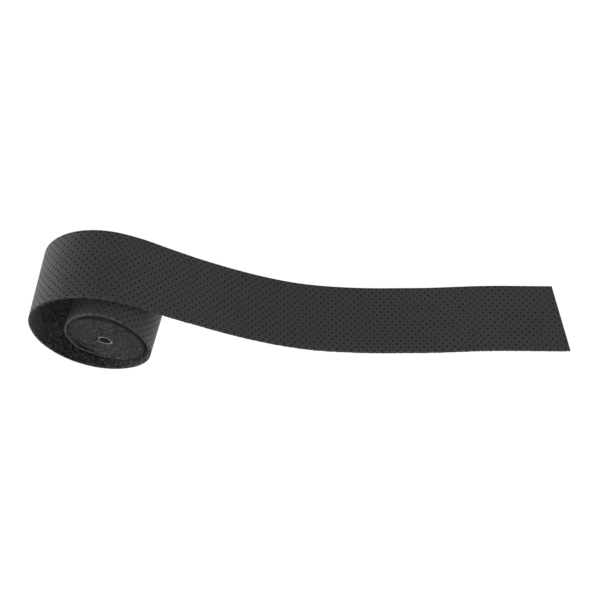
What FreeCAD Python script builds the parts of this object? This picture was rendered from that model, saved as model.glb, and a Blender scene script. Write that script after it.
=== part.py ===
import FreeCAD, Part
import math
import os
import Sketcher

# Racket grip tape: a long perforated strip with a felt back, wound into a roll that lies on its
# side, with one loose outer turn and a free tail laid flat on the table.
#
# Frame: +X along the tail towards its cut end, +Y across the tape, +Z up. The origin is the middle
# of the whole footprint, on the surface that the roll and the tail rest on.

doc = FreeCAD.newDocument("grip_tape_roll")
sheet = doc.addObject("Spreadsheet::Sheet", "sizes")

# Driving dimensions, in millimetres and degrees.
DIMENSIONS = (
    ("tape_width", 24.7),
    ("face_thickness", 0.25),
    ("felt_thickness", 0.55),
    ("flat_length", 10.0),
    ("end_slant", 3.8),
    ("end_gap", 0.3),
    ("core_turn_angle", 12.5),
    ("core_radius", 12.8),
    ("core_turns", 13.5),
    ("core_x", -96.77),
    ("core_y", -3.5),
    ("core_z", 16.02),
    ("adhesive_thickness", 0.12),
    ("liner_thickness", 0.10),
    ("starter_sweep", 320.0),
)

# Side profile of the upper face: (name, radius, length). Along its chain, a positive radius turns
# the tape upwards, a negative one turns it downwards, and 0 is straight.
RAMP = (
    ("foot", 130.6, 22.0),
    ("lower_ramp", 69.4, 14.0),
    ("middle_ramp", 131.5, 16.0),
    ("upper_ramp", 232.0, 13.0),
)
OUTER_TOP = (
    ("shoulder_in", 303.0, 17.0),
    ("shoulder", -70.0, 12.0),
    ("crown", -23.0, 12.0),
    ("crown_end", -16.3, 14.0),
)
OUTER_BACK = (("back", -18.8, 35.0),)
OUTER_FLOOR = (("floor", -24.7, 20.0), ("climb", -15.5, 20.0))
INNER_TURN = (
    ("inner_top", -13.7, 23.0),
    ("inner_back", -15.4, 24.0),
    ("inner_floor", -12.3, 20.0),
)
TAIL_ROOT = (("lift_in", 130.0, 8.0), ("lift", 0.0, 8.0))
TAIL_MIDDLE = (("hump", -170.0, 16.0), ("drop", 0.0, 4.0))
TAIL_TIP = (("tip", 1200.0, 12.7),)

# The roll twists away from the tail: (distance along the tape from the flat stretch, direction
# of travel, direction of the line across the tape), both measured from the tail's, in degrees.
# Between two rows both directions change evenly.
TWIST = (
    (65.0, 0.0, 0.0),
    (90.0, -0.5, 5.0),
    (115.0, -0.5, 7.0),
    (135.0, 12.0, 7.0),
    (155.0, 14.5, 13.0),
    (175.0, 8.0, 13.0),
    (198.0, 15.5, 11.0),
    (225.0, 13.0, 12.0),
    (248.0, 11.0, 16.5),
)
SECTION_STEP = 4.0   # spacing of the cross-sections in the twisted stretches
MARCH_STEP = 0.25    # step of the walk along the twisted centre line


def fill_sheet():
    """Write every driving dimension to the sheet under its own alias."""
    row = 1
    entries = list(DIMENSIONS)
    for chain in (RAMP, OUTER_TOP, OUTER_BACK, OUTER_FLOOR, INNER_TURN,
                  TAIL_ROOT, TAIL_MIDDLE, TAIL_TIP):
        for name, radius, length in chain:
            entries.append((name + "_radius", abs(radius)))
            entries.append((name + "_length", length))
    for index, (distance, travel, across) in enumerate(TWIST):
        entries.append(("twist%d_distance" % index, distance))
        entries.append(("twist%d_travel" % index, travel))
        entries.append(("twist%d_across" % index, across))
    for name, value in entries:
        sheet.set("A%d" % row, name)
        sheet.set("B%d" % row, str(value))
        sheet.setAlias("B%d" % row, name)
        row += 1
    doc.recompute()


def size(name):
    """A driving dimension, read back from the sheet."""
    return float(sheet.get(name))


def chain_sizes(chain):
    """The same chain with its sizes read back from the sheet; a bend keeps its sense."""
    sizes = []
    for name, radius, length in chain:
        sizes.append((name, math.copysign(size(name + "_radius"), radius),
                      size(name + "_length")))
    return sizes


def twist_rows():
    """The roll's twist, read back from the sheet."""
    return [tuple(size("twist%d_%s" % (index, part)) for part in ("distance", "travel", "across"))
            for index in range(len(TWIST))]


fill_sheet()
WIDTH = size("tape_width")
FACE = size("face_thickness")
TAPE = FACE + size("felt_thickness")
LAYERS = {"face": (0.0, FACE), "felt": (FACE, TAPE)}
TWIST_ROWS = twist_rows()


def origin_plane(body, role):
    """One of a body's own origin planes."""
    for feature in body.Origin.OriginFeatures:
        if feature.Role == role:
            return feature
    raise ValueError("no origin plane " + role)


def new_sketch(body, name, role):
    sketch = body.newObject("Sketcher::SketchObject", name)
    sketch.AttachmentSupport = (origin_plane(body, role), "")
    sketch.MapMode = "FlatFace"
    return sketch


def walk(chain, angle=0.0, x=0.0, z=0.0):
    """Follow a chain of tangent arcs: yields each one's start, end, centre and headings."""
    for name, radius, length in chain:
        if radius == 0.0:
            end = (x + length * math.cos(angle), z + length * math.sin(angle))
            yield name, radius, (x, z), end, None, angle, angle
            x, z = end
            continue
        turn = length / radius
        centre = (x - radius * math.sin(angle), z + radius * math.cos(angle))
        after = angle + turn
        end = (centre[0] + radius * math.sin(after), centre[1] - radius * math.cos(after))
        yield name, radius, (x, z), end, centre, angle, after
        x, z = end
        angle = after


def chain_end(chain, angle=0.0, x=0.0, z=0.0):
    """Position and heading at the end of a chain."""
    for step in walk(chain, angle, x, z):
        x, z = step[3]
        angle = step[6]
    return angle, x, z


def spine_sketch(body, chain, lead=None):
    """Side profile of one stretch: tangent lines and arcs whose sizes come from the sheet."""
    sketch = new_sketch(body, body.Name + "_spine", "XZ_Plane")
    steps = []
    start_x = 0.0
    if lead:
        steps.append((lead, 0.0, (0.0, 0.0), (size(lead), 0.0), None, 0.0, 0.0))
        start_x = size(lead)
    steps.extend(walk(chain, 0.0, start_x))
    previous = None
    for name, radius, start, end, centre, before, after in steps:
        first = FreeCAD.Vector(start[0], start[1], 0)
        last = FreeCAD.Vector(end[0], end[1], 0)
        if radius == 0.0:
            edge = sketch.addGeometry(Part.LineSegment(first, last))
            begin, finish = 1, 2
            cell = name if name == lead else name + "_length"
            length = sketch.addConstraint(Sketcher.Constraint("Distance", edge, size(cell)))
            sketch.setExpression("Constraints[%d]" % length, "sizes." + cell)
        else:
            middle = (before + after) / 2
            through = FreeCAD.Vector(centre[0] + radius * math.sin(middle),
                                     centre[1] - radius * math.cos(middle), 0)
            edge = sketch.addGeometry(Part.Arc(first, through, last))
            begin, finish = (1, 2) if radius > 0 else (2, 1)
            bend = sketch.addConstraint(Sketcher.Constraint("Radius", edge, abs(radius)))
            sketch.setExpression("Constraints[%d]" % bend, "sizes.%s_radius" % name)
        if previous is None:
            sketch.addConstraint(Sketcher.Constraint("Coincident", edge, begin, -1, 1))
        else:
            sketch.addConstraint(Sketcher.Constraint("Coincident", previous[0], previous[1],
                                                     edge, begin))
        previous = (edge, finish)
    return sketch


def section_sketch(body, top, bottom):
    """Cross-section of one layer: the full width, between two depths below the upper face."""
    sketch = new_sketch(body, body.Name + "_section", "YZ_Plane")
    half = WIDTH / 2
    corners = [FreeCAD.Vector(-half, -top, 0), FreeCAD.Vector(half, -top, 0),
               FreeCAD.Vector(half, -bottom, 0), FreeCAD.Vector(-half, -bottom, 0)]
    for index in range(4):
        sketch.addGeometry(Part.LineSegment(corners[index], corners[(index + 1) % 4]))
    for index in range(4):
        sketch.addConstraint(Sketcher.Constraint("Coincident", index, 2, (index + 1) % 4, 1))
    for edge, kind in ((0, "Horizontal"), (1, "Vertical"), (2, "Horizontal"), (3, "Vertical")):
        sketch.addConstraint(Sketcher.Constraint(kind, edge))
    across = sketch.addConstraint(Sketcher.Constraint("DistanceX", 0, 1, 0, 2, WIDTH))
    sketch.setExpression("Constraints[%d]" % across, "sizes.tape_width")
    left = sketch.addConstraint(Sketcher.Constraint("DistanceX", 0, 1, -1, 1, half))
    sketch.setExpression("Constraints[%d]" % left, "sizes.tape_width / 2")
    depth = "sizes.felt_thickness" if top > 0 else "sizes.face_thickness"
    thick = sketch.addConstraint(Sketcher.Constraint("DistanceY", 1, 2, 1, 1, bottom - top))
    sketch.setExpression("Constraints[%d]" % thick, depth)
    if top > 0:
        down = sketch.addConstraint(Sketcher.Constraint("DistanceY", 0, 1, -1, 1, top))
        sketch.setExpression("Constraints[%d]" % down, "sizes.face_thickness")
    else:
        sketch.addConstraint(Sketcher.Constraint("PointOnObject", 0, 1, -1))
    return sketch


def cut_slanted_end(body, length):
    """Trim the tape's free end along a slanted line, with a cut wider than the tape."""
    slope = size("end_slant") / WIDTH
    far = length - size("end_slant") / 2 - slope * WIDTH
    near = length - size("end_slant") / 2 + slope * WIDTH
    beyond = length + WIDTH
    corners = [FreeCAD.Vector(far, WIDTH, 0), FreeCAD.Vector(near, -WIDTH, 0),
               FreeCAD.Vector(beyond, -WIDTH, 0), FreeCAD.Vector(beyond, WIDTH, 0)]
    sketch = new_sketch(body, body.Name + "_end_cut", "XY_Plane")
    for index in range(4):
        sketch.addGeometry(Part.LineSegment(corners[index], corners[(index + 1) % 4]))
    for index in range(4):
        sketch.addConstraint(Sketcher.Constraint("Coincident", index, 2, (index + 1) % 4, 1))
    pocket = body.newObject("PartDesign::Pocket", body.Name + "_end_pocket")
    pocket.Profile = sketch
    pocket.Type = "ThroughAll"
    pocket.Midplane = True
    return pocket


def flat_stretch(name, layer, chain, placement, lead=None, slanted=False):
    """One stretch of one layer, where the tape bends about straight lines square to its edges."""
    body = doc.addObject("PartDesign::Body", "%s_%s" % (name, layer))
    body.Label = "%s_%s" % (name, layer)
    top, bottom = LAYERS[layer]
    spine = spine_sketch(body, chain, lead)
    section = section_sketch(body, top, bottom)
    doc.recompute()
    pipe = body.newObject("PartDesign::AdditivePipe", body.Name + "_sweep")
    pipe.Profile = section
    pipe.Spine = (spine, ["Edge%d" % (index + 1) for index in range(len(spine.Geometry))])
    doc.recompute()
    if slanted:
        cut_slanted_end(body, sum(step[2] for step in chain))
        doc.recompute()
    body.Placement = placement
    return body


def twist_at(distance):
    """Directions of travel and of the cross line at a distance along the tape, in radians."""
    for (s0, travel0, across0), (s1, travel1, across1) in zip(TWIST_ROWS, TWIST_ROWS[1:]):
        if distance <= s1:
            break
    share = min(max((distance - s0) / (s1 - s0), 0.0), 1.0)
    travel = travel0 + (travel1 - travel0) * share
    across = across0 + (across1 - across0) * share
    return math.radians(travel), math.radians(across)


def twisted_sections(chain, distance, angle, point):
    """Walk a twisted chain leftwards: each section is (middle, cross line, outward normal)."""
    sections = []
    total = sum(step[2] for step in chain)
    count = int(round(total / MARCH_STEP))
    every = max(1, int(round(SECTION_STEP / MARCH_STEP)))
    ends = []
    reach = 0.0
    for name, radius, length in chain:
        reach += length
        ends.append((reach, radius))
    for index in range(count + 1):
        here = index * MARCH_STEP
        travel, across = twist_at(distance + here)
        line = FreeCAD.Vector(math.sin(across), math.cos(across), 0)
        heading = FreeCAD.Vector(-math.cos(travel) * math.cos(angle),
                                 math.sin(travel) * math.cos(angle), math.sin(angle))
        if index % every == 0 or index == count:
            normal = heading.cross(line)
            normal.normalize()
            sections.append((FreeCAD.Vector(point), line, normal * -1))
        radius = next((r for end, r in ends if here < end - 1e-9), ends[-1][1])
        middle = angle + MARCH_STEP / radius / 2
        step = FreeCAD.Vector(-math.cos(travel) * math.cos(middle),
                              math.sin(travel) * math.cos(middle), math.sin(middle))
        if index < count:
            point = point + step * MARCH_STEP
            angle += MARCH_STEP / radius
    return sections, angle, point


def edge_curve(sections, side, depth):
    """Spline through the sections' corners on one side, at one depth below the upper face."""
    points = [middle + line * (side * WIDTH / 2) - normal * depth
              for middle, line, normal in sections]
    curve = Part.BSplineCurve()
    curve.interpolate(points)
    return curve.toShape()


def twisted_layer(name, layer, sections):
    """One stretch of one layer where the lines across the tape aren't parallel."""
    top, bottom = LAYERS[layer]
    edges = {(side, depth): edge_curve(sections, side, depth)
             for side in (-1, 1) for depth in (top, bottom)}
    ring = [(-1, top), (1, top), (1, bottom), (-1, bottom)]
    faces = []
    for index in range(4):
        faces.append(Part.makeRuledSurface(edges[ring[index]], edges[ring[(index + 1) % 4]]))
    for end in (0, -1):
        corners = [edges[key].Vertexes[end].Point for key in ring]
        faces.append(Part.Face(Part.makePolygon(corners + corners[:1])))
    shell = Part.makeShell(faces)
    shell.sewShape()
    solid = Part.Solid(shell)
    if solid.Volume < 0:
        solid.reverse()
    piece = doc.addObject("Part::Feature", "%s_%s" % (name, layer))
    piece.Label = "%s_%s" % (name, layer)
    piece.Shape = solid
    return piece


def core_outline(layer):
    """Half-turn arcs of the tight core from the eye outwards, and one layer's two offsets."""
    top, bottom = LAYERS[layer]
    halves = int(round(2 * size("core_turns")))
    inner = size("core_radius") - TAPE - (halves - 1) * TAPE / 2
    arcs = []
    for index in range(halves):
        radius = inner + index * TAPE / 2
        middle = (TAPE / 2) * (0.5 if index % 2 else -0.5)
        arcs.append((middle, radius, index % 2))
    return arcs, TAPE - bottom, TAPE - top


def core_layer(layer, placement):
    """One layer of the tightly wound core, as a padded spiral band."""
    body = doc.addObject("PartDesign::Body", "core_" + layer)
    body.Label = "core_" + layer
    sketch = new_sketch(body, "core_%s_spiral" % layer, "XZ_Plane")
    arcs, low, high = core_outline(layer)
    chains = []
    for offset in (low, high):
        edges = []
        for middle, radius, lower in arcs:
            reach = radius + offset
            sign = -1 if lower else 1
            edge = sketch.addGeometry(Part.Arc(FreeCAD.Vector(middle + sign * reach, 0, 0),
                                               FreeCAD.Vector(middle, sign * reach, 0),
                                               FreeCAD.Vector(middle - sign * reach, 0, 0)))
            edges.append(edge)
        chains.append(edges)
    for edges in chains:
        for first, second in zip(edges, edges[1:]):
            sketch.addConstraint(Sketcher.Constraint("Coincident", first, 2, second, 1))
    caps = []
    for end, corner in ((0, 1), (-1, 2)):
        start = sketch.getPoint(chains[0][end], corner)
        stop = sketch.getPoint(chains[1][end], corner)
        cap = sketch.addGeometry(Part.LineSegment(start, stop))
        sketch.addConstraint(Sketcher.Constraint("Coincident", cap, 1, chains[0][end], corner))
        sketch.addConstraint(Sketcher.Constraint("Coincident", cap, 2, chains[1][end], corner))
        caps.append(cap)
    pad = body.newObject("PartDesign::Pad", "core_%s_pad" % layer)
    pad.Profile = sketch
    pad.Length = WIDTH
    pad.Midplane = True
    pad.setExpression("Length", "sizes.tape_width")
    doc.recompute()
    body.Placement = placement
    return body


def starter_ring(name, outer, thickness, placement):
    """A strip that lines the eye of the core, most of the way round."""
    body = doc.addObject("PartDesign::Body", name)
    body.Label = name
    sketch = new_sketch(body, name + "_ring", "XZ_Plane")
    half = math.radians(size("starter_sweep")) / 2
    radii = (outer - thickness, outer)
    arcs = []
    for radius in radii:
        circle = Part.Circle(FreeCAD.Vector(0, 0, 0), FreeCAD.Vector(0, 0, 1), radius)
        arc = sketch.addGeometry(Part.ArcOfCircle(circle, math.pi / 2 - half,
                                                  math.pi / 2 + half))
        sketch.addConstraint(Sketcher.Constraint("Coincident", arc, 3, -1, 1))
        arcs.append(arc)
    for corner in (1, 2):
        line = sketch.addGeometry(Part.LineSegment(sketch.getPoint(arcs[0], corner),
                                                   sketch.getPoint(arcs[1], corner)))
        sketch.addConstraint(Sketcher.Constraint("Coincident", line, 1, arcs[0], corner))
        sketch.addConstraint(Sketcher.Constraint("Coincident", line, 2, arcs[1], corner))
    pad = body.newObject("PartDesign::Pad", name + "_pad")
    pad.Profile = sketch
    pad.Length = WIDTH
    pad.Midplane = True
    pad.setExpression("Length", "sizes.tape_width")
    doc.recompute()
    body.Placement = placement
    return body


pieces = []
gap = size("end_gap")

# Tail and ramp: three short stretches to the right of the flat one, one long stretch to its left.
leftwards = FreeCAD.Rotation(FreeCAD.Vector(0, 0, 1), 180)
ramp_end, ramp_x, ramp_z = chain_end(RAMP, 0.0, size("flat_length"), TAPE)
for layer in LAYERS:
    placement = FreeCAD.Placement(FreeCAD.Vector(0, 0, TAPE), leftwards)
    pieces.append(flat_stretch("ramp", layer, RAMP, placement, "flat_length"))

angle, x, z = 0.0, 0.0, TAPE
joint_spots = [("ramp", -ramp_x, ramp_z)]
for name, chain in (("tail_root", TAIL_ROOT), ("tail_middle", TAIL_MIDDLE),
                    ("tail_tip", TAIL_TIP)):
    turn = FreeCAD.Rotation(FreeCAD.Vector(0, 1, 0), -math.degrees(angle))
    spot = FreeCAD.Vector(x + gap * math.cos(angle), 0, z + gap * math.sin(angle))
    for layer in LAYERS:
        pieces.append(flat_stretch(name, layer, chain, FreeCAD.Placement(spot, turn),
                                   slanted=(name == "tail_tip")))
    joint_spots.append((name, x, z))
    angle, x, z = chain_end(chain, angle, spot.x, spot.z)

# Outer turn and inner turn of the roll, both twisted.
distance = sum(step[2] for step in RAMP)
angle = ramp_end
point = FreeCAD.Vector(-ramp_x, 0, ramp_z)
for name, chain, lead in (("outer_turn_top", OUTER_TOP, gap),
                          ("outer_turn_back", OUTER_BACK, 0.0),
                          ("outer_turn_floor", OUTER_FLOOR, 0.0),
                          ("inner_turn", INNER_TURN, 0.0)):
    point = point + FreeCAD.Vector(-math.cos(angle), 0, math.sin(angle)) * lead
    sections, angle, end = twisted_sections(chain_sizes(chain), distance, angle, point)
    start = FreeCAD.Vector(point)
    local = [(middle - start, line, normal) for middle, line, normal in sections]
    for layer in LAYERS:
        piece = twisted_layer(name, layer, local)
        piece.Placement = FreeCAD.Placement(start, FreeCAD.Rotation())
        pieces.append(piece)
    distance += sum(step[2] for step in chain)
    point = end

# Tight core, and the starter strip on the felt at its innermost end.
core_spot = FreeCAD.Vector(size("core_x"), size("core_y"), size("core_z"))
core_turn = FreeCAD.Rotation(FreeCAD.Vector(0, 0, 1), -size("core_turn_angle"))
core_place = FreeCAD.Placement(core_spot, core_turn)
for layer in LAYERS:
    pieces.append(core_layer(layer, core_place))
first_middle, first_radius, lower = core_outline("felt")[0][0]
eye_place = core_place.multiply(FreeCAD.Placement(FreeCAD.Vector(first_middle, 0, 0),
                                                  FreeCAD.Rotation()))
eye = first_radius
pieces.append(starter_ring("starter_adhesive", eye, size("adhesive_thickness"), eye_place))
eye -= size("adhesive_thickness")
pieces.append(starter_ring("starter_liner", eye, size("liner_thickness"), eye_place))
doc.recompute()

# Bring the middle of the whole footprint to the origin.
box = FreeCAD.BoundBox()
for piece in pieces:
    box.add(piece.Shape.optimalBoundingBox(False, False))
shift = FreeCAD.Vector(-(box.XMin + box.XMax) / 2, -(box.YMin + box.YMax) / 2, -box.ZMin)
for piece in pieces:
    piece.Placement.Base = piece.Placement.Base + shift
doc.recompute()

for item in doc.Objects:
    if "Invalid" in item.State or "Error" in item.State:
        raise RuntimeError("%s is %s" % (item.Name, item.State))
os.makedirs("parts", exist_ok=True)
for piece in pieces:
    shape = piece.Shape
    if shape.isNull() or not shape.isValid() or len(shape.Solids) != 1:
        raise RuntimeError("%s has no single valid solid" % piece.Label)
    shape.exportStep("parts/%s.step" % piece.Label)
    print(piece.Label, [round(v, 2) for v in (shape.BoundBox.XMin, shape.BoundBox.XMax,
                                              shape.BoundBox.YMin, shape.BoundBox.YMax,
                                              shape.BoundBox.ZMin, shape.BoundBox.ZMax)])
for name, x, z in joint_spots:
    print("joint", name, round(x + shift.x, 3), round(z + shift.z, 3))
print("shift", shift)
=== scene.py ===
import bmesh
import bpy
import math
import random
from mathutils import Matrix, Vector


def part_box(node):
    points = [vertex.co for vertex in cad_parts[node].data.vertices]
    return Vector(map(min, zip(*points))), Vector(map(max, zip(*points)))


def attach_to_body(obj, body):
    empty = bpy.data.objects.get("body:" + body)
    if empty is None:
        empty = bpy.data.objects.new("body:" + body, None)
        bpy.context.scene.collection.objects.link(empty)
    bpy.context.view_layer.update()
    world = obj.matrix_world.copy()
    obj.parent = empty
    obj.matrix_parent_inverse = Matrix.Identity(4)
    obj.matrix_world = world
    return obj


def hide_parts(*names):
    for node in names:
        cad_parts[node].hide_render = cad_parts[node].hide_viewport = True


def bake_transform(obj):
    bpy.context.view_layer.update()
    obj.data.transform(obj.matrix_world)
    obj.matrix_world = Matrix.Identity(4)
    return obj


# Perforated racket grip tape with a felt back: a roll with one loose outer turn and a free tail.
# Every surface is built on the tape's own coordinates, in mm: s runs along the tape (0 where the
# flat stretch meets the tail, falling towards the roll), v runs across it (from -HALF at the near
# edge to HALF at the far edge), and depth runs down from the tape's upper face.

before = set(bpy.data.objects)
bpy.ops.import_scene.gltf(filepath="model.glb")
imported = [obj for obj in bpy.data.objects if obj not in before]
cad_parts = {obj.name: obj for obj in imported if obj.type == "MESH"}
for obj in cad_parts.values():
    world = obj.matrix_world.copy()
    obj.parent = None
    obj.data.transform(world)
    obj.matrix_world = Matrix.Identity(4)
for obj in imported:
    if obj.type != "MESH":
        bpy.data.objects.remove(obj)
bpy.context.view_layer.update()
random.seed(7)

MM = 0.001           # one millimetre, in metres
HALF = 12.35         # half the tape's width
FACE = 0.25          # thickness of the face film
TAPE = 0.80          # thickness of face film and felt together
PITCH = 2.5          # spacing of the holes in one row
ROWS = 20            # half-pitch rows across the tape
CELL = PITCH / 2     # length of one cell of the film, which holds a hole or none
CELL_ACROSS = 2 * HALF / ROWS

# Side profile, as (length, radius) from s = 0, where radius 0 is straight. It repeats part.py's.
ROLLWARDS = (
    (10.0, 0.0),                                                   # the flat stretch
    (22.0, 130.6), (14.0, 69.4), (16.0, 131.5), (13.0, 232.0),     # the ramp
    (17.0, 303.0), (12.0, -70.0), (12.0, -23.0), (14.0, -16.3),    # the outer turn's top
    (35.0, -18.8), (20.0, -24.7), (20.0, -15.5),                   # its back and its floor
    (23.0, -13.7), (24.0, -15.4), (20.0, -12.3),                   # the second turn
    (28.0, -13.0),                                                 # the way onto the core
)
TAILWARDS = ((8.0, 130.0), (8.3, 0.0), (16.0, -170.0), (4.3, 0.0), (16.6, 1200.0))
# The roll's twist: (s, direction of travel, direction of the cross line), in degrees.
TWIST = (
    (-75.0, 0.0, 0.0), (-100.0, -0.5, 5.0), (-125.0, -0.5, 7.0), (-145.0, 12.0, 7.0),
    (-165.0, 14.5, 13.0), (-185.0, 8.0, 13.0), (-208.0, 15.5, 11.0), (-235.0, 13.0, 12.0),
    (-258.0, 11.0, 16.5),
)
CUT_NEAR, CUT_FAR = 49.6, 45.9   # the slanted cut at the tape's free end: s at its two edges
STEP = 0.05          # spacing of the points worked out along the profile

ramp_low, ramp_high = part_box("ramp_felt")
ORIGIN = Vector((ramp_high.x / MM, (ramp_low.y + ramp_high.y) / 2 / MM, ramp_low.z / MM))


def twist(s):
    """Directions of travel and of the cross line at s, in radians."""
    s = min(max(s, TWIST[-1][0]), TWIST[0][0])
    for (s0, a0, b0), (s1, a1, b1) in zip(TWIST, TWIST[1:]):
        if s >= s1:
            share = (s - s0) / (s1 - s0)
            return math.radians(a0 + (a1 - a0) * share), math.radians(b0 + (b1 - b0) * share)


def heading(sign, travel, angle):
    """Unit vector along the tape, away from s = 0: sign is -1 towards the roll, 1 to the tail."""
    return Vector((sign * math.cos(travel) * math.cos(angle),
                   math.sin(travel) * math.cos(angle), math.sin(angle)))


def march(chain, sign):
    """(point of the upper face's middle line, slope) every STEP along a chain of arcs."""
    track = []
    angle, s = 0.0, 0.0
    point = Vector((0.0, 0.0, TAPE))
    for length, radius in chain:
        turn = STEP / radius if radius else 0.0
        for _ in range(int(round(length / STEP))):
            track.append((point, angle))
            point = point + heading(sign, twist(s)[0], angle + turn / 2) * STEP
            angle += turn
            s += sign * STEP
    track.append((point, angle))
    return track


LEFT = march(ROLLWARDS, -1)
RIGHT = march(TAILWARDS, 1)


def between(track, place):
    """The two rows on either side of a place in a track, and its share of the way between them."""
    place = min(max(place, 0.0), len(track) - 1.0001)   # just short of the last row
    low = int(place)
    return track[low], track[low + 1], place - low


def loose_section(s):
    """Middle of the upper face, cross line and outward normal of the tape outside the core."""
    track, sign = (LEFT, -1) if s < 0 else (RIGHT, 1)
    (point_a, angle_a), (point_b, angle_b), share = between(track, abs(s) / STEP)
    travel, across = twist(s)
    line = Vector((math.sin(across), math.cos(across), 0))
    along = heading(sign, travel, angle_a + (angle_b - angle_a) * share)
    normal = line.cross(along) if sign < 0 else along.cross(line)
    return point_a.lerp(point_b, share) + ORIGIN, line, normal.normalized()


# The tight core: below s = CORE_START the tape follows a spiral about the core's axis.
CORE_START = -257.0
LEAD_IN = 17.0       # the loose turn settles onto the core over this length
AXIS_TURN = math.radians(14.5)
AXIS = Vector((math.sin(AXIS_TURN), math.cos(AXIS_TURN), 0))
ACROSS = Vector((math.cos(AXIS_TURN), -math.sin(AXIS_TURN), 0))
CORE_SHIFT = Vector((-0.3, 0, -0.3))   # from the middle of the CAD core
CORE_RADIUS = 13.1
EYE_RADIUS = 2.2
OVAL = 0.91          # the core's height as a share of its width
TURN = 0.785         # how much the core's radius grows in one turn
CORE_SLIP = 0.1      # how far the core's turns are shifted towards its near end
SETTLE = 1.6         # how fast the loose turn's sideways offset fades on the core, per radian
SPIRAL_STEP = 0.1    # spacing of the points worked out along the spiral

# The second turn's near edge rides up a little over the top of the core.
LIFT = 1.8           # rise of the near edge
LIFT_MIDDLE = -224.0
LIFT_REACH = 22.0

core_low, core_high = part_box("core_face")
CORE_MIDDLE = (core_low + core_high) / 2 / MM + CORE_SHIFT


def polar(point):
    """Radius, angle and axial place of a point about the axis of the slightly oval core."""
    d = point - CORE_MIDDLE
    x, z = d.dot(ACROSS), d.z / OVAL
    return math.hypot(x, z), math.atan2(z, x), d.dot(AXIS)


def oval(angle):
    """Point of the unit oval about the core's axis."""
    return ACROSS * math.cos(angle) + Vector((0, 0, OVAL * math.sin(angle)))


def oval_normal(angle):
    """Outward normal of the same oval."""
    return (ACROSS * OVAL * math.cos(angle) + Vector((0, 0, math.sin(angle)))).normalized()


start_radius, start_angle, start_axial = polar(loose_section(CORE_START)[0])


def spiral_track():
    """(angle turned, radius) every SPIRAL_STEP of tape, from the core's outside to its eye."""
    track = []
    turned = 0.0
    radius = CORE_RADIUS
    while radius - TAPE > EYE_RADIUS:
        track.append((turned, radius))
        turned += SPIRAL_STEP / (radius - TAPE / 2)
        radius = CORE_RADIUS - TURN * turned / (2 * math.pi)
    return track


SPIRAL = spiral_track()
CORE_END = CORE_START - SPIRAL_STEP * (len(SPIRAL) - 1)


def core_wander(turned):
    """How far a turn strays along the core's axis: three slow waves."""
    turns = turned / (2 * math.pi)
    return (0.05 * math.sin(turns * 2.1 + 0.4) + 0.04 * math.sin(turns * 5.3 + 1.0)
            + 0.03 * math.sin(turned * 2 + turns))


def core_section(s):
    """The same as loose_section(), on the core's spiral."""
    place = (CORE_START - s) / SPIRAL_STEP
    (turned_a, radius_a), (turned_b, radius_b), share = between(SPIRAL, place)
    turned = turned_a + (turned_b - turned_a) * share
    radius = radius_a + (radius_b - radius_a) * share
    angle = start_angle + turned
    loose = math.exp(-turned * SETTLE)
    axial = start_axial * loose + (core_wander(turned) - CORE_SLIP) * (1 - loose)
    return CORE_MIDDLE + oval(angle) * radius + AXIS * axial, AXIS, oval_normal(angle)


def tape_section(s):
    """Middle of the upper face, cross line and outward normal anywhere on the tape."""
    if s <= CORE_START:
        return core_section(s)
    point, line, normal = loose_section(s)
    if abs(s - LIFT_MIDDLE) < LIFT_REACH:
        lift = LIFT * math.cos(math.pi / 2 * (s - LIFT_MIDDLE) / LIFT_REACH) ** 2
        point = point + Vector((0, 0, lift / 2))
        line = line - Vector((0, 0, lift / (2 * HALF)))
    if s < CORE_START + LEAD_IN:
        share = (CORE_START + LEAD_IN - s) / LEAD_IN
        share = share * share * (3 - 2 * share)
        angle = polar(point)[1]
        point = point + oval(angle) * (CORE_RADIUS - start_radius) * share
        normal = normal.lerp(oval_normal(angle), share).normalized()
    return point, line, normal


SECTIONS = {}        # sections already worked out, by s


def at(s, v, depth):
    """Point of the tape, in metres."""
    key = round(s, 4)
    if key not in SECTIONS:
        SECTIONS[key] = tape_section(key)
    point, line, normal = SECTIONS[key]
    return (point + line * v - normal * depth) * MM


# Meshes. Each is laid out flat, with (s, v, depth) as its points' coordinates, and then carried
# onto the tape.
NEAR = 1e-6          # tolerance for a point on an edge
MAP_SIZE = 25.0      # mm of tape in one unit of the texture map

HOLE = 0.31          # radius of a hole
HOLE_FLOOR = 0.20    # depth of a hole's floor, which stands for the felt under it; floor and wall carry painted shade
HOLE_SIDES = ((-1, -1), (0, -1), (1, -1), (1, 0), (1, 1), (0, 1), (-1, 1), (-1, 0))
HOLE_STRAY = 0.03    # how far a hole is from its place, at most
HOLE_SIZES = (0.92, 1.1)   # smallest and largest hole, as shares of HOLE
LIP = 1.2            # radius where the film starts to bend into a hole, as a share of the hole's
LIP_DEPTH = 0.02     # how far it bends down
EDGE_DROP = 0.03     # how far the film is pressed down along the tape's edges
FILM_LAP = 0.02      # how far the film's cut edges reach down past its thickness
WALLS, CUT_EDGES = 1, 2    # the film's material slots for its holes' painted shade and for its cut edges

SIDE_STEPS = 3       # mesh rows down the side of a band
BACK_WAVE, BACK_SCATTER = 0.6, 0.5    # the felt's back: smooth and random shares of its roughness
EDGE_WAVE, EDGE_SCATTER = 0.9, 0.9    # the felt's edges: the same


def steps(low, high, step):
    """Values from low to high, both included, about a step apart."""
    count = max(1, int(round((high - low) / step)))
    return [low + (high - low) * k / count for k in range(count + 1)]


def wobble(a, b, seed):
    """Smooth pseudo-random value in -1..1."""
    return (math.sin(a * 1.7 + b * 2.3 + seed) * math.sin(a * 3.1 - b * 1.9 + 2 * seed)
            + 0.5 * math.sin(a * 7.3 + b * 5.1 + seed * 3) * math.sin(b * 8.7 - a * 4.9)) / 1.5


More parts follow.
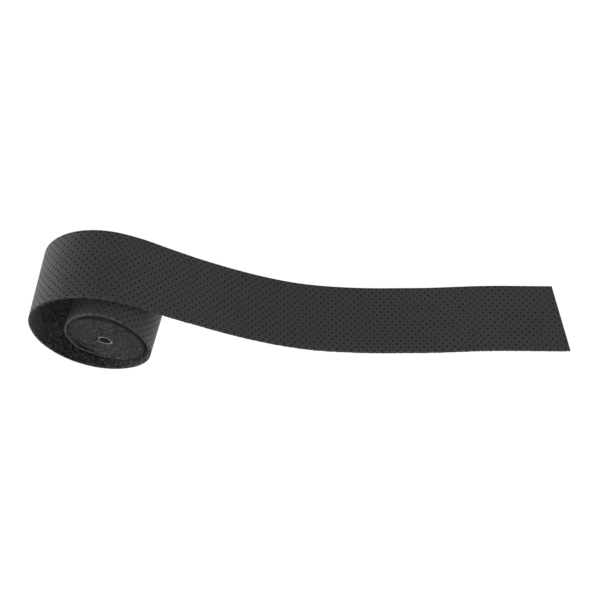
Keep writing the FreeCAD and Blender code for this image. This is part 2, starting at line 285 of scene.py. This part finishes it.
def finish_mesh(name, bm, material):
    """Object from a flat layout, with each point carried onto the tape."""
    uv = bm.loops.layers.uv.new("tape")
    for face in bm.faces:
        face.smooth = True
        for loop in face.loops:
            loop[uv].uv = (loop.vert.co.x / MAP_SIZE, loop.vert.co.y / MAP_SIZE)
    for vert in bm.verts:
        vert.co = at(vert.co.x, vert.co.y, vert.co.z)
    bmesh.ops.recalc_face_normals(bm, faces=bm.faces)
    mesh = bpy.data.meshes.new(name)
    bm.to_mesh(mesh)
    bm.free()
    obj = bpy.data.objects.new(name, mesh)
    bpy.context.scene.collection.objects.link(obj)
    mesh.materials.append(material)
    return obj


def end_cut(bm):
    """Trim the flat layout along the slanted line of the tape's free end."""
    slope = Vector((CUT_FAR - CUT_NEAR, 2 * HALF, 0)).normalized()
    normal = Vector((slope.y, -slope.x, 0))
    geometry = list(bm.verts) + list(bm.edges) + list(bm.faces)
    bmesh.ops.bisect_plane(bm, geom=geometry, dist=1e-5, plane_co=(CUT_NEAR, -HALF, 0),
                           plane_no=normal, clear_outer=True)


def pierced_cell(bm, outer, s0, v0):
    """Fill one cell with a hole: the film round it, its lip, and its wall and floor in painted shade.
    """
    s0 += random.uniform(-HOLE_STRAY, HOLE_STRAY)
    v0 += random.uniform(-HOLE_STRAY, HOLE_STRAY)
    size = HOLE * random.uniform(*HOLE_SIZES)
    rings = [outer]
    for radius, depth in ((size * LIP, 0.0), (size, LIP_DEPTH), (size, HOLE_FLOOR)):
        ring = []
        for a, b in HOLE_SIDES:
            angle = math.atan2(b, a)
            ring.append(bm.verts.new((s0 + math.cos(angle) * radius, v0 + math.sin(angle) * radius,
                                      depth)))
        rings.append(ring)
    for wide, narrow in zip(rings, rings[1:]):
        for k in range(len(HOLE_SIDES)):
            face = bm.faces.new((wide[k - 1], wide[k], narrow[k], narrow[k - 1]))
            # The wall and the floor get painted shade, darker than the film and the felt.
            if narrow is rings[-1]:
                face.material_index = WALLS
    bm.faces.new(rings[-1]).material_index = WALLS


def film(name, first, last, cut):
    """Perforated face film over cells first to last, with a hole in every other cell."""
    bm = bmesh.new()
    known = {}

    def vert(s, v, depth):
        key = (round(s, 3), round(v, 3), round(depth, 3))
        if key not in known:
            known[key] = bm.verts.new((s, v, depth))
        return known[key]

    for column in range(first, last):
        for row in range(ROWS):
            s0, v0 = (column + 0.5) * CELL, -HALF + (row + 0.5) * CELL_ACROSS
            outer = []
            for a, b in HOLE_SIDES:
                v = v0 + b * CELL_ACROSS / 2
                at_edge = abs(abs(v) - HALF) < NEAR
                outer.append(vert(s0 + a * CELL / 2, v, EDGE_DROP if at_edge else 0.0))
            if (column + row) % 2 == 0:
                pierced_cell(bm, outer, s0, v0)
                continue
            middle = vert(s0, v0, 0.0)
            for k in range(0, len(HOLE_SIDES), 2):
                bm.faces.new((outer[k - 1], outer[k], outer[k + 1], middle))
    if cut:
        end_cut(bm)
    seams = (first * CELL, last * CELL)
    edges = [edge for edge in bm.edges if edge.is_boundary
             and not any(all(abs(p.co.x - seam) < 1e-4 for p in edge.verts) for seam in seams)]
    for item in bmesh.ops.extrude_edge_only(bm, edges=edges)["geom"]:
        if isinstance(item, bmesh.types.BMVert):
            item.co.z = FACE + FILM_LAP
        if isinstance(item, bmesh.types.BMFace):
            item.material_index = CUT_EDGES
    obj = finish_mesh(name, bm, FILM)
    obj.data.materials.append(HOLE_SHADE)
    obj.data.materials.append(FILM_EDGE_AND_SHADE)
    return obj


def band(name, s_values, v_count, top, bottom, material, rough=0.0, half=HALF, cut=False):
    """Closed band between two depths, uneven below its top where rough is above 0."""
    outline = [(-half + 2 * half * k / v_count, top) for k in range(v_count)]
    outline += [(half, top + (bottom - top) * k / SIDE_STEPS) for k in range(SIDE_STEPS)]
    outline += [(half - 2 * half * k / v_count, bottom) for k in range(v_count)]
    outline += [(-half, bottom - (bottom - top) * k / SIDE_STEPS) for k in range(SIDE_STEPS)]
    bm = bmesh.new()
    rings = []
    for s in s_values:
        ring = []
        for v, depth in outline:
            push, lean = 0.0, 0.0
            if rough and depth > top + NEAR:
                push = rough * (BACK_WAVE * wobble(s, v, 1.0)
                                + random.uniform(-BACK_SCATTER, BACK_SCATTER))
                if abs(abs(v) - half) < NEAR:
                    lean = rough * (EDGE_WAVE * wobble(s, depth * 3, 4.0)
                                    + random.uniform(-EDGE_SCATTER, EDGE_SCATTER))
            ring.append(bm.verts.new((s, v + lean, depth + push)))
        rings.append(ring)
    count = len(outline)
    for a, b in zip(rings, rings[1:]):
        for k in range(count):
            bm.faces.new((a[k], a[(k + 1) % count], b[(k + 1) % count], b[k]))
    for ring in (rings[0], rings[-1]):
        bm.faces.new(ring)
    if cut:
        end_cut(bm)
        open_edges = [e for e in bm.edges if e.is_boundary
                      and max(p.co.x for p in e.verts) > CUT_FAR - 1.0]
        bmesh.ops.holes_fill(bm, edges=open_edges, sides=0)
    return finish_mesh(name, bm, material)


# Materials. Their textures are in the piece's own coordinates, in metres.
def new_material(name, roughness=0.5, specular=0.5):
    """Material, its node tree and its shader."""
    material = bpy.data.materials.new(name)
    material.use_nodes = True
    shader = material.node_tree.nodes["Principled BSDF"]
    shader.inputs["Roughness"].default_value = roughness
    shader.inputs["Specular IOR Level"].default_value = specular
    return material, material.node_tree, shader


def textures(tree, *wanted):
    """A texture node for each (kind, inputs)."""
    place = tree.nodes.new("ShaderNodeTexCoord")
    made = []
    for kind, inputs in wanted:
        node = tree.nodes.new(kind)
        for key, value in inputs.items():
            node.inputs[key].default_value = value
        tree.links.new(place.outputs["Object"], node.inputs["Vector"])
        made.append(node)
    return made


def noise(scale, detail, roughness, distortion=0.0):
    """What textures() needs for a noise; scale is in waves to the metre."""
    return "ShaderNodeTexNoise", {"Scale": scale, "Detail": detail, "Roughness": roughness,
                                  "Distortion": distortion}


def grey(value, blue=1.0):
    """A grey, with its blue multiplied."""
    return value, value, value * blue, 1.0


def two_tone(tree, texture, low, dark, high, light):
    """Colour socket that goes from dark to light as the texture goes from low to high."""
    node = tree.nodes.new("ShaderNodeValToRGB")
    for element, place, colour in zip(node.color_ramp.elements, (low, high), (dark, light)):
        element.position = place
        element.color = colour
    tree.links.new(texture.outputs["Fac"], node.inputs["Fac"])
    return node.outputs["Color"]


def multiply(tree, colour, *others):
    """Colour socket of one colour multiplied by others."""
    for other in others:
        mix = tree.nodes.new("ShaderNodeMixRGB")
        mix.blend_type = "MULTIPLY"
        mix.inputs["Fac"].default_value = 1.0
        tree.links.new(colour, mix.inputs["Color1"])
        tree.links.new(other, mix.inputs["Color2"])
        colour = mix.outputs["Color"]
    return colour


def bump(tree, shader, *heights):
    """Stacked bumps: (height socket, strength, distance in metres)."""
    normal = None
    for source, strength, distance in heights:
        node = tree.nodes.new("ShaderNodeBump")
        node.inputs["Strength"].default_value = strength
        node.inputs["Distance"].default_value = distance
        tree.links.new(source, node.inputs["Height"])
        if normal is not None:
            tree.links.new(normal, node.inputs["Normal"])
        normal = node.outputs["Normal"]
    tree.links.new(normal, shader.inputs["Normal"])


def film_material():
    """Polyurethane face: dark grey, fine leather grain, soft satin shine, faint scuffs."""
    material, tree, shader = new_material("grip_face_film", specular=0.42)
    cloud, grain, fine = textures(tree, noise(140.0, 4.0, 0.6),
                                  ("ShaderNodeTexVoronoi", {"Scale": 3200.0}),
                                  noise(5200.0, 3.0, 0.6))
    tone = two_tone(tree, cloud, 0.3, (0.049, 0.049, 0.0501, 1.0), 0.7, (0.057, 0.057, 0.058, 1.0))
    speck = two_tone(tree, fine, 0.35, grey(0.82), 0.7, grey(1.15))
    tree.links.new(multiply(tree, tone, speck), shader.inputs["Base Color"])
    rough = two_tone(tree, cloud, 0.3, grey(0.52), 0.7, grey(0.62))
    tree.links.new(rough, shader.inputs["Roughness"])
    bump(tree, shader, (grain.outputs["Distance"], 0.25, 0.00004),
         (fine.outputs["Fac"], 0.35, 0.00003))
    return material


def felt_material(name, low, high):
    """Felt: near-black tangled fibres with paler flecks."""
    material, tree, shader = new_material(name, roughness=0.95, specular=0.2)
    fibre, fleck, cloud = textures(tree, noise(1200.0, 5.0, 0.75, distortion=1.2),
                                   noise(1700.0, 4.0, 0.8), noise(210.0, 3.0, 0.6))
    tone = two_tone(tree, fibre, 0.44, grey(low, 1.03), 0.58, grey(high, 1.02))
    flecks = two_tone(tree, fleck, 0.46, grey(0.45), 0.62, grey(2.3))
    patches = two_tone(tree, cloud, 0.3, grey(0.65), 0.7, grey(1.3))
    tree.links.new(multiply(tree, tone, flecks, patches), shader.inputs["Base Color"])
    shader.inputs["Sheen Weight"].default_value = 0.12
    shader.inputs["Sheen Roughness"].default_value = 0.5
    bump(tree, shader, (fibre.outputs["Fac"], 0.9, 0.00025), (fleck.outputs["Fac"], 0.7, 0.00012))
    return material


def film_edge_material(name, low, high):
    """The film's plastic, darker and without the grain: its cut edges, and painted shade in holes and
    on strips.
    """
    material, tree, shader = new_material(name, roughness=0.75, specular=0.25)
    cloud, = textures(tree, noise(900.0, 4.0, 0.7))
    tone = two_tone(tree, cloud, 0.35, grey(low, 1.03), 0.65, grey(high, 1.03))
    tree.links.new(tone, shader.inputs["Base Color"])
    bump(tree, shader, (cloud.outputs["Fac"], 0.6, 0.00012))
    return material


def paper_material(name, shade, roughness):
    """Release paper or adhesive: pale, with faint fibres."""
    material, tree, shader = new_material(name, roughness=roughness)
    fibre, = textures(tree, noise(2400.0, 4.0, 0.6))
    tone = two_tone(tree, fibre, 0.3, grey(shade * 0.8), 0.7, grey(shade * 1.1))
    tree.links.new(tone, shader.inputs["Base Color"])
    bump(tree, shader, (fibre.outputs["Fac"], 0.3, 0.00003))
    return material


FILM = film_material()
FELT = felt_material("grip_felt", 0.002, 0.066)
CORE_FELT = felt_material("grip_felt_edges", 0.004, 0.044)
# Dark film for the cut edges, also used as painted shade on the starter strips' broad faces.
FILM_EDGE_AND_SHADE = film_edge_material("grip_film_edge_and_painted_shade", 0.007, 0.020)
# Painted shade for the holes' walls and floors.
HOLE_SHADE = film_edge_material("grip_hole_painted_shade", 0.008, 0.014)
ADHESIVE = paper_material("starter_adhesive_gum", 0.20, 0.5)
LINER = paper_material("starter_liner_paper", 0.19, 0.6)

# The loose tape, in stretches: (piece, first cell, last cell, CAD nodes that it stands for, bodies,
# s where the joint between its bodies starts, s where it ends).
CORE_CELL = -220     # the cell where the loose turns end and the core's own mesh begins
STRETCHES = (
    ("loose_turns", CORE_CELL, -76,
     ("outer_turn_top", "outer_turn_back", "outer_turn_floor", "inner_turn"), ("roll",), 0, 0),
    ("ramp", -76, -32, ("ramp",), ("roll", "ramp"), -84.0, -66.0),
    ("tail_root", -32, 6, ("tail_root",), ("ramp", "tail_root"), -5.0, 7.4),
    ("tail_middle", 6, 21, ("tail_middle",), ("tail_root", "tail_middle"), 11.5, 24.5),
    ("tail_tip", 21, 41, ("tail_tip",), ("tail_middle", "tail_tip"), 31.5, 43.5),
)
FELT_STEP, FELT_ACROSS = 0.5, 42     # mesh of the loose felt: size along the tape, rows across
FELT_TRIM = 0.03                     # how much thinner it is than the tape leaves room for
FELT_ROUGH = 0.07

CORE_STEP, CORE_ACROSS = 0.35, 6     # mesh of the core: the same
CORE_FELT_TRIM = 0.08
CORE_FELT_ROUGH = 0.10
CORE_FILM_TRIM = 0.03                # how much thinner the core's film is than the loose film
CORE_FILM_INSET = 0.12               # how far its edges lie behind the felt's

# The starter: (piece, CAD node, slot, material, upper depth, lower depth, half width).
STARTER = (
    ("starter_gum", "starter_adhesive", "adhesive", ADHESIVE, TAPE, TAPE + 0.11, HALF + 0.25),
    ("starter_paper", "starter_liner", "release_liner", LINER, TAPE + 0.12, TAPE + 0.50, HALF + 0.45),
)
STARTER_GAP, STARTER_LENGTH = 0.2, 17.0   # from the tape's inner end, and along the tape
STARTER_STEP = 0.25
EDGE_FACING = 0.7    # a face whose normal is at least this much along the core's axis is an edge


def attach(obj, bodies, low, high):
    """Ride one body; across the joint between two, stay in place with the transform baked in."""
    if len(bodies) == 1:
        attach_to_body(obj, bodies[0])
        return
    at(low, 0, TAPE / 2)
    at(high, 0, TAPE / 2)
    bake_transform(obj)


def paint_shade_on_broad_faces(obj):
    """Paint shade on a strip's broad faces with the dark film-edge material, so only its edges stay
    pale.
    """
    obj.data.materials.append(FILM_EDGE_AND_SHADE)
    for face in obj.data.polygons:
        if abs(face.normal.dot(AXIS)) < EDGE_FACING:
            face.material_index = 1


def run_length(s_values, depth):
    """Length along the tape's middle at one depth, in metres."""
    points = [at(s, 0, depth) for s in s_values]
    return sum((b - a).length for a, b in zip(points, points[1:]))


for name, first, last, stands_for, bodies, blend_low, blend_high in STRETCHES:
    is_tip = name == "tail_tip"
    low, high = first * CELL, last * CELL
    top = film(name + "_film", first, last, cut=is_tip)
    back = band(name + "_felt_back", steps(low, high, FELT_STEP), FELT_ACROSS, FACE,
                TAPE - FELT_TRIM, FELT, rough=FELT_ROUGH, cut=is_tip)
    for obj, layer, slot in ((top, "face", "grip_face"), (back, "felt", "felt_backing")):
        attach(obj, bodies, blend_low, blend_high)
        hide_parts(*[node + "_" + layer for node in stands_for])

core_s = steps(CORE_END, CORE_CELL * CELL, CORE_STEP)
core_film = band("core_film", core_s, CORE_ACROSS, CORE_FILM_TRIM, FACE, FILM_EDGE_AND_SHADE,
                 half=HALF - CORE_FILM_INSET)
core_back = band("core_felt_back", core_s, CORE_ACROSS, FACE, TAPE - CORE_FELT_TRIM, CORE_FELT,
                 rough=CORE_FELT_ROUGH)
for obj, layer, slot in ((core_film, "face", "grip_face"), (core_back, "felt", "felt_backing")):
    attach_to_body(obj, "roll")
    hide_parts("core_" + layer)

ring_s = steps(CORE_END + STARTER_GAP, CORE_END + STARTER_GAP + STARTER_LENGTH, STARTER_STEP)
for name, node, slot, material, upper, lower, half in STARTER:
    obj = band(name, ring_s, CORE_ACROSS, upper, lower, material, half=half)
    # The strips' broad faces carry painted shade; only their edges keep the paper's tone.
    paint_shade_on_broad_faces(obj)
    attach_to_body(obj, "roll")
    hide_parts(node)
    run_length(ring_s, (upper + lower) / 2)

# The floor and the studio's light. Sizes from here on are in metres.
FLOOR_REACH = 2      # from the middle of the floor to its sides
FLOOR_DROP = 0.0001  # how far the floor lies under the object
FLOOR_GLOW = 1.0
WORLD_LIGHT = 0.36
WHITE = (1, 1, 1, 1)

floor_mesh = bpy.data.meshes.new("floor")
corners = [(x * FLOOR_REACH, y * FLOOR_REACH, 0) for x, y in ((-1, -1), (1, -1), (1, 1), (-1, 1))]
floor_mesh.from_pydata(corners, [], [(0, 1, 2, 3)])
floor = bpy.data.objects.new("floor", floor_mesh)
bpy.context.scene.collection.objects.link(floor)
floor.location.z = -FLOOR_DROP
floor_material, _, floor_shader = new_material("pale_floor", roughness=1.0, specular=0.0)
floor_shader.inputs["Base Color"].default_value = (0.05, 0.05, 0.05, 1)
floor_shader.inputs["Emission Color"].default_value = WHITE
floor_shader.inputs["Emission Strength"].default_value = FLOOR_GLOW
floor_mesh.materials.append(floor_material)

world = bpy.data.worlds.new("studio")
bpy.context.scene.world = world
world.use_nodes = True
background = world.node_tree.nodes["Background"]
background.inputs["Color"].default_value = WHITE
background.inputs["Strength"].default_value = WORLD_LIGHT


def area_light(name, spot, target, size, power):
    """Rectangular lamp at spot that points at target."""
    data = bpy.data.lights.new(name, "AREA")
    data.shape = "RECTANGLE"
    data.size, data.size_y = size
    data.energy = power
    light = bpy.data.objects.new(name, data)
    light.location = spot
    light.rotation_euler = (Vector(target) - Vector(spot)).to_track_quat("-Z", "Y").to_euler()
    bpy.context.scene.collection.objects.link(light)


area_light("left_soft", (-0.60, 0.02, 0.12), (-0.06, 0, 0.02), (0.3, 0.2), 2.0)
area_light("front_soft", (-0.15, -0.6, 0.45), (-0.03, 0, 0.01), (0.5, 0.4), 2.2)

# The camera. Its distance and its target are in mm.
ELEVATION = math.radians(58.47)
ROLL = math.radians(-0.36)
DISTANCE = 469.4     # from the eye to the point of the floor that it looks at
TARGET = Vector((ORIGIN.x - 38.66, ORIGIN.y + 8.37, 0))
SENSOR = 36.0
LENS = 84.06
ahead = Vector((0, math.cos(ELEVATION), -math.sin(ELEVATION)))
level = Vector((1, 0, 0))
upright = level.cross(ahead)
right = level * math.cos(ROLL) + upright * math.sin(ROLL)
up = upright * math.cos(ROLL) - level * math.sin(ROLL)
camera_data = bpy.data.cameras.new("camera")
camera = bpy.data.objects.new("camera", camera_data)
bpy.context.scene.collection.objects.link(camera)
camera_data.sensor_width = SENSOR
camera_data.lens = LENS
camera_data.clip_start = 0.01
camera.rotation_mode = "QUATERNION"
camera.rotation_quaternion = Matrix((right, up, -ahead)).transposed().to_quaternion()
camera.location = (TARGET - ahead * DISTANCE) * MM
bpy.context.scene.camera = camera
bpy.context.scene.view_settings.view_transform = "Standard"
